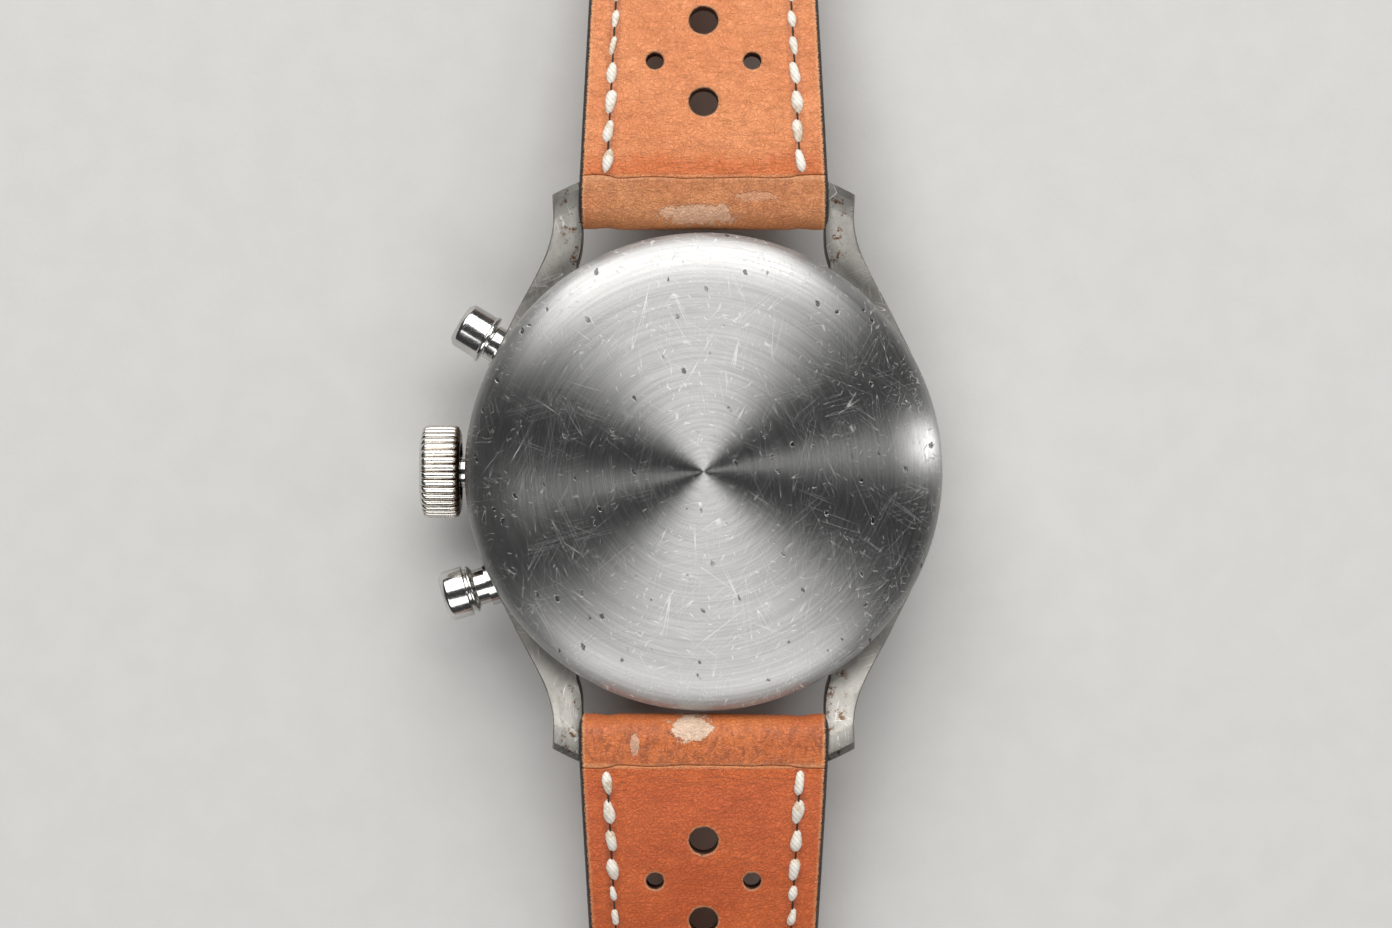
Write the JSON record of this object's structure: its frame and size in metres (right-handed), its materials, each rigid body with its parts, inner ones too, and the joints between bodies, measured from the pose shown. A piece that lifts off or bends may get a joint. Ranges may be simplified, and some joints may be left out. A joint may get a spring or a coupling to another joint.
{
  "type": "chronograph wristwatch",
  "caption": "Hand-wound chronograph wristwatch in a round steel case with crown and pushers, on an open perforated leather strap with a tang buckle.",
  "frame": {"origin": "highest point of the crystal's dome, on the axis of the hands, where the watch rests when it lies face down", "axes": "+Z from the crystal to the case back, +Y towards 12 o'clock along the strap, -X towards the crown at 3 o'clock"},
  "size_m": [0.0414, 0.2436, 0.013],
  "materials": {
    "steel": "polished and brushed stainless steel",
    "back_steel": "circular brushed stainless steel",
    "acrylic": "clear acrylic",
    "gasket": "black rubber",
    "brass": "gilt brass",
    "rhodium": "rhodium-plated brass",
    "dial_paint": "silver-white lacquer",
    "blued_steel": "blued steel",
    "ruby": "synthetic ruby",
    "leather": "tan leather"
  },
  "bodies": {
    "case": {"case_middle": "steel", "bezel": "steel", "crystal": "acrylic", "case_back": "back_steel", "back_gasket": "gasket", "movement_ring": "brass", "case_tubes": "steel", "dial": "dial_paint", "dial_markers": "steel", "spring_bars": "steel", "main_plate": "rhodium", "barrel_bridge": "rhodium", "train_bridge": "rhodium", "pallet_bridge": "rhodium", "balance_cock": "rhodium", "chronograph_bridge": "rhodium", "jewels": "ruby", "movement_screws": "blued_steel"},
    "winding_pinion": {"winding_pinion": "steel"},
    "crown": {"crown": "steel", "winding_stem": "steel"},
    "crown_wheel": {"crown_wheel": "steel"},
    "intermediate_wheel": {"intermediate_wheel": "steel"},
    "ratchet_wheel": {"ratchet_wheel": "steel"},
    "click": {"click": "steel"},
    "start_pusher": {"start_pusher": "steel", "start_pusher_spring": "steel"},
    "reset_pusher": {"reset_pusher": "steel", "reset_pusher_spring": "steel"},
    "barrel": {"barrel_drum": "brass", "mainspring": "steel"},
    "centre": {"centre_wheel": "brass", "cannon_pinion": "steel", "minute_hand": "blued_steel"},
    "third": {"third_wheel": "brass"},
    "fourth": {"fourth_wheel": "brass", "small_seconds_hand": "blued_steel"},
    "escape": {"escape_wheel": "steel"},
    "pallet_fork": {"pallet_fork": "steel"},
    "balance": {"balance_wheel": "brass", "hairspring": "blued_steel"},
    "minute_wheel": {"minute_wheel": "brass"},
    "hour": {"hour_wheel": "brass", "hour_hand": "blued_steel"},
    "column_wheel": {"column_wheel": "steel"},
    "operating_lever": {"operating_lever": "steel"},
    "coupling_lever": {"coupling_lever": "steel"},
    "coupling_wheel": {"coupling_wheel": "brass"},
    "chronograph": {"chronograph_runner": "brass", "chronograph_hand": "blued_steel"},
    "minute_counter": {"minute_counter_wheel": "brass", "minute_counter_hand": "blued_steel"},
    "reset_hammer": {"reset_hammer": "steel"},
    "strap_buckle_half": {"strap_buckle_half": "leather", "fixed_keeper": "leather"},
    "strap_tip_half": {"strap_tip_half": "leather"},
    "sliding_keeper": {"sliding_keeper": "leather"},
    "buckle": {"buckle_frame": "steel", "buckle_bar": "steel"},
    "buckle_tongue": {"buckle_tongue": "steel"}
  },
  "joints": [
    {"name": "crown_turn", "type": "hinge", "parent": "case", "child": "winding_pinion", "pos_m": [-0.00815, 0, 0.0074], "axis": [-1, 0, 0], "continuous": true},
    {"name": "crown_pull", "type": "slide", "parent": "winding_pinion", "child": "crown", "axis": [-1, 0, 0], "range_m": [0, 0.001]},
    {"name": "crown_wheel_turn", "type": "hinge", "parent": "case", "child": "crown_wheel", "pos_m": [-0.0103, 0, 0.0096], "axis": [0, 0, 1], "continuous": true},
    {"name": "intermediate_turn", "type": "hinge", "parent": "case", "child": "intermediate_wheel", "pos_m": [-0.00793, 0.00339, 0.0096], "axis": [0, 0, 1], "continuous": true},
    {"name": "ratchet_turn", "type": "hinge", "parent": "case", "child": "ratchet_wheel", "pos_m": [-0.00201, 0.00553, 0.0096], "axis": [0, 0, 1], "continuous": true},
    {"name": "click_swing", "type": "hinge", "parent": "case", "child": "click", "pos_m": [0.0015, 0.0106, 0.0096], "axis": [0, 0, 1], "range_deg": [0, 8]},
    {"name": "start_push", "type": "slide", "parent": "case", "child": "start_pusher", "axis": [0.8526, -0.5225, 0], "range_m": [0, 0.0008], "stiffness_N_per_m": 1500, "springref_m": -0.0004, "deforming": ["start_pusher_spring"]},
    {"name": "reset_push", "type": "slide", "parent": "case", "child": "reset_pusher", "axis": [0.9563, 0.2924, 0], "range_m": [0, 0.0008], "stiffness_N_per_m": 1500, "springref_m": -0.0004, "deforming": ["reset_pusher_spring"]},
    {"name": "barrel_turn", "type": "hinge", "parent": "case", "child": "barrel", "pos_m": [-0.00201, 0.00553, 0.008], "axis": [0, 0, 1], "continuous": true},
    {"name": "centre_turn", "type": "hinge", "parent": "case", "child": "centre", "pos_m": [0, 0, 0.008], "axis": [0, 0, 1], "continuous": true},
    {"name": "third_turn", "type": "hinge", "parent": "case", "child": "third", "pos_m": [0.0037, 0.00329, 0.008], "axis": [0, 0, 1], "continuous": true},
    {"name": "fourth_turn", "type": "hinge", "parent": "case", "child": "fourth", "pos_m": [0.0064, 0, 0.008], "axis": [0, 0, 1], "continuous": true},
    {"name": "escape_turn", "type": "hinge", "parent": "case", "child": "escape", "pos_m": [0.0073, -0.00335, 0.008], "axis": [0, 0, 1], "continuous": true},
    {"name": "pallet_swing", "type": "hinge", "parent": "case", "child": "pallet_fork", "pos_m": [0.0059, -0.0059, 0.007], "axis": [0, 0, 1], "range_deg": [-6, 6]},
    {"name": "balance_swing", "type": "hinge", "parent": "case", "child": "balance", "pos_m": [0.004, -0.009, 0.008], "axis": [0, 0, 1], "range_deg": [-220, 220]},
    {"name": "minute_wheel_turn", "type": "hinge", "parent": "case", "child": "minute_wheel", "pos_m": [0.0016, -0.00277, 0.005], "axis": [0, 0, 1], "continuous": true},
    {"name": "hour_turn", "type": "hinge", "parent": "case", "child": "hour", "pos_m": [0, 0, 0.005], "axis": [0, 0, 1], "continuous": true},
    {"name": "column_turn", "type": "hinge", "parent": "case", "child": "column_wheel", "pos_m": [-0.0082, 0.0098, 0.0096], "axis": [0, 0, 1], "continuous": true},
    {"name": "operating_swing", "type": "hinge", "parent": "case", "child": "operating_lever", "pos_m": [-0.0129, 0.0034, 0.0098], "axis": [0, 0, 1], "range_deg": [-12, 0]},
    {"name": "coupling_swing", "type": "hinge", "parent": "case", "child": "coupling_lever", "pos_m": [0.0064, 0, 0.0099], "axis": [0, 0, 1], "range_deg": [-12, 0]},
    {"name": "coupling_wheel_turn", "type": "hinge", "parent": "coupling_lever", "child": "coupling_wheel", "pos_m": [0.0043, -0.00098, 0.0104], "axis": [0, 0, 1], "continuous": true},
    {"name": "chronograph_turn", "type": "hinge", "parent": "case", "child": "chronograph", "pos_m": [0, 0, 0.0104], "axis": [0, 0, 1], "continuous": true},
    {"name": "minute_counter_turn", "type": "hinge", "parent": "case", "child": "minute_counter", "pos_m": [-0.0064, 0, 0.0106], "axis": [0, 0, 1], "continuous": true},
    {"name": "hammer_swing", "type": "hinge", "parent": "case", "child": "reset_hammer", "pos_m": [-0.0065, -0.012, 0.0101], "axis": [0, 0, 1], "range_deg": [-8, 0]},
    {"name": "buckle_half_swing", "type": "hinge", "parent": "case", "child": "strap_buckle_half", "pos_m": [0, 0.0211, 0.0099], "axis": [1, 0, 0], "range_deg": [-20, 85]},
    {"name": "tip_half_swing", "type": "hinge", "parent": "case", "child": "strap_tip_half", "pos_m": [0, -0.0211, 0.0099], "axis": [-1, 0, 0], "range_deg": [-20, 85]},
    {"name": "sliding_keeper_slide", "type": "slide", "parent": "strap_buckle_half", "child": "sliding_keeper", "axis": [0, 1, 0], "range_m": [-0.012, 0.0055]},
    {"name": "buckle_swing", "type": "hinge", "parent": "strap_buckle_half", "child": "buckle", "pos_m": [0, 0.094, 0.0047], "axis": [1, 0, 0], "range_deg": [-60, 60]},
    {"name": "tongue_swing", "type": "hinge", "parent": "buckle", "child": "buckle_tongue", "pos_m": [0, 0.094, 0.0047], "axis": [-1, 0, 0], "range_deg": [0, 90]}
  ],
  "couplings": [
    {"joint": "crown_wheel_turn", "follows": "crown_turn", "ratio": 0.83333},
    {"joint": "intermediate_turn", "follows": "crown_turn", "ratio": -0.90909},
    {"joint": "ratchet_turn", "follows": "crown_turn", "ratio": 0.41667},
    {"joint": "third_turn", "follows": "fourth_turn", "ratio": -0.13333},
    {"joint": "centre_turn", "follows": "fourth_turn", "ratio": 0.016667},
    {"joint": "barrel_turn", "follows": "fourth_turn", "ratio": -0.0027778},
    {"joint": "escape_turn", "follows": "fourth_turn", "ratio": -10},
    {"joint": "minute_wheel_turn", "follows": "fourth_turn", "ratio": -0.0055556},
    {"joint": "hour_turn", "follows": "fourth_turn", "ratio": 0.0013889},
    {"joint": "coupling_wheel_turn", "follows": "fourth_turn", "ratio": -1.9},
    {"joint": "minute_counter_turn", "follows": "chronograph_turn", "ratio": 0.033333},
    {"joint": "operating_swing", "follows": "start_push", "rad_per_m": -258},
    {"joint": "hammer_swing", "follows": "reset_push", "rad_per_m": -166}
  ]
}
